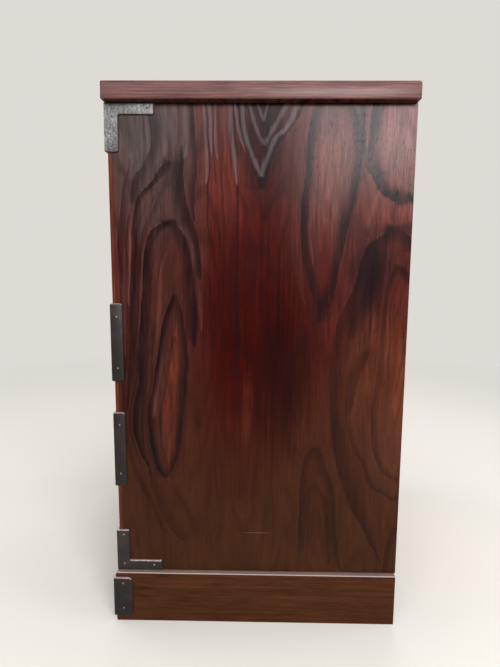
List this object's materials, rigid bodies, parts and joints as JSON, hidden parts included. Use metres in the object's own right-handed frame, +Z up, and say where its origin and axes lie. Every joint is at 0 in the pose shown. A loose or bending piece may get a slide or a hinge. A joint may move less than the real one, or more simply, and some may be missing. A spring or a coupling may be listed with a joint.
{
  "type": "chest of drawers",
  "caption": "Upright chest of drawers in dark figured rosewood veneer on a plinth, with black iron corner fittings and hinged bail pulls.",
  "frame": {"origin": "on the floor, under the middle of the whole chest", "axes": "+Z up, -Y out of the drawer fronts, +X to the viewer's right when facing the drawers"},
  "size_m": [0.6, 0.4654, 0.84],
  "materials": {
    "rosewood_veneer": "semi-gloss lacquer over dark red-brown rosewood veneer",
    "rosewood_solid": "semi-gloss lacquer over dark red-brown wood, straight grain",
    "pale_wood": "plain planed pale wood",
    "stained_plywood": "matt brown-stained plywood",
    "cast_iron": "matt black cast iron, slightly rough"
  },
  "bodies": {
    "case": {"top_board": "rosewood_veneer", "side_panel_right": "rosewood_veneer", "side_panel_left": "rosewood_veneer", "bottom_board": "rosewood_solid", "divider_1": "rosewood_solid", "divider_2": "rosewood_solid", "divider_3": "rosewood_solid", "top_rail_front": "rosewood_solid", "top_rail_back": "pale_wood", "back_panel": "stained_plywood", "base_front": "rosewood_solid", "base_back": "rosewood_solid", "base_side_right": "rosewood_solid", "base_side_left": "rosewood_solid", "top_corner_iron_right": "cast_iron", "top_corner_iron_left": "cast_iron", "upper_strap_right": "cast_iron", "upper_strap_left": "cast_iron", "lower_strap_right": "cast_iron", "lower_strap_left": "cast_iron", "bottom_corner_iron_right": "cast_iron", "bottom_corner_iron_left": "cast_iron", "base_corner_iron_right": "cast_iron", "base_corner_iron_left": "cast_iron"},
    "drawer_1": {"drawer_1_front": "rosewood_veneer", "drawer_1_back": "pale_wood", "drawer_1_floor": "pale_wood", "drawer_1_side_right": "pale_wood", "drawer_1_side_left": "pale_wood", "drawer_1_backplate_right": "cast_iron", "drawer_1_backplate_left": "cast_iron"},
    "drawer_1_bail_right": {"drawer_1_bail_right": "cast_iron"},
    "drawer_1_bail_left": {"drawer_1_bail_left": "cast_iron"},
    "drawer_2": {"drawer_2_front": "rosewood_veneer", "drawer_2_back": "pale_wood", "drawer_2_floor": "pale_wood", "drawer_2_side_right": "pale_wood", "drawer_2_side_left": "pale_wood", "drawer_2_backplate_right": "cast_iron", "drawer_2_backplate_left": "cast_iron"},
    "drawer_2_bail_right": {"drawer_2_bail_right": "cast_iron"},
    "drawer_2_bail_left": {"drawer_2_bail_left": "cast_iron"},
    "drawer_3": {"drawer_3_front": "rosewood_veneer", "drawer_3_back": "pale_wood", "drawer_3_floor": "pale_wood", "drawer_3_side_right": "pale_wood", "drawer_3_side_left": "pale_wood", "drawer_3_backplate_right": "cast_iron", "drawer_3_backplate_left": "cast_iron"},
    "drawer_3_bail_right": {"drawer_3_bail_right": "cast_iron"},
    "drawer_3_bail_left": {"drawer_3_bail_left": "cast_iron"},
    "drawer_4": {"drawer_4_front": "rosewood_veneer", "drawer_4_back": "pale_wood", "drawer_4_floor": "pale_wood", "drawer_4_side_right": "pale_wood", "drawer_4_side_left": "pale_wood", "drawer_4_backplate_right": "cast_iron", "drawer_4_backplate_left": "cast_iron"},
    "drawer_4_bail_right": {"drawer_4_bail_right": "cast_iron"},
    "drawer_4_bail_left": {"drawer_4_bail_left": "cast_iron"}
  },
  "joints": [
    {"name": "drawer_1_slide", "type": "slide", "parent": "case", "child": "drawer_1", "axis": [0, -1, 0], "range_m": [0, 0.33]},
    {"name": "drawer_1_bail_right_swing", "type": "hinge", "parent": "drawer_1", "child": "drawer_1_bail_right", "pos_m": [0.135, -0.2273, 0.20212], "axis": [-1, 0, 0], "range_deg": [0, 170]},
    {"name": "drawer_1_bail_left_swing", "type": "hinge", "parent": "drawer_1", "child": "drawer_1_bail_left", "pos_m": [-0.135, -0.2273, 0.20212], "axis": [-1, 0, 0], "range_deg": [0, 170]},
    {"name": "drawer_2_slide", "type": "slide", "parent": "case", "child": "drawer_2", "axis": [0, -1, 0], "range_m": [0, 0.33]},
    {"name": "drawer_2_bail_right_swing", "type": "hinge", "parent": "drawer_2", "child": "drawer_2_bail_right", "pos_m": [0.135, -0.2273, 0.38452], "axis": [-1, 0, 0], "range_deg": [0, 170]},
    {"name": "drawer_2_bail_left_swing", "type": "hinge", "parent": "drawer_2", "child": "drawer_2_bail_left", "pos_m": [-0.135, -0.2273, 0.38452], "axis": [-1, 0, 0], "range_deg": [0, 170]},
    {"name": "drawer_3_slide", "type": "slide", "parent": "case", "child": "drawer_3", "axis": [0, -1, 0], "range_m": [0, 0.33]},
    {"name": "drawer_3_bail_right_swing", "type": "hinge", "parent": "drawer_3", "child": "drawer_3_bail_right", "pos_m": [0.135, -0.2273, 0.55618], "axis": [-1, 0, 0], "range_deg": [0, 170]},
    {"name": "drawer_3_bail_left_swing", "type": "hinge", "parent": "drawer_3", "child": "drawer_3_bail_left", "pos_m": [-0.135, -0.2273, 0.55618], "axis": [-1, 0, 0], "range_deg": [0, 170]},
    {"name": "drawer_4_slide", "type": "slide", "parent": "case", "child": "drawer_4", "axis": [0, -1, 0], "range_m": [0, 0.33]},
    {"name": "drawer_4_bail_right_swing", "type": "hinge", "parent": "drawer_4", "child": "drawer_4_bail_right", "pos_m": [0.135, -0.2273, 0.72785], "axis": [-1, 0, 0], "range_deg": [0, 170]},
    {"name": "drawer_4_bail_left_swing", "type": "hinge", "parent": "drawer_4", "child": "drawer_4_bail_left", "pos_m": [-0.135, -0.2273, 0.72785], "axis": [-1, 0, 0], "range_deg": [0, 170]}
  ]
}
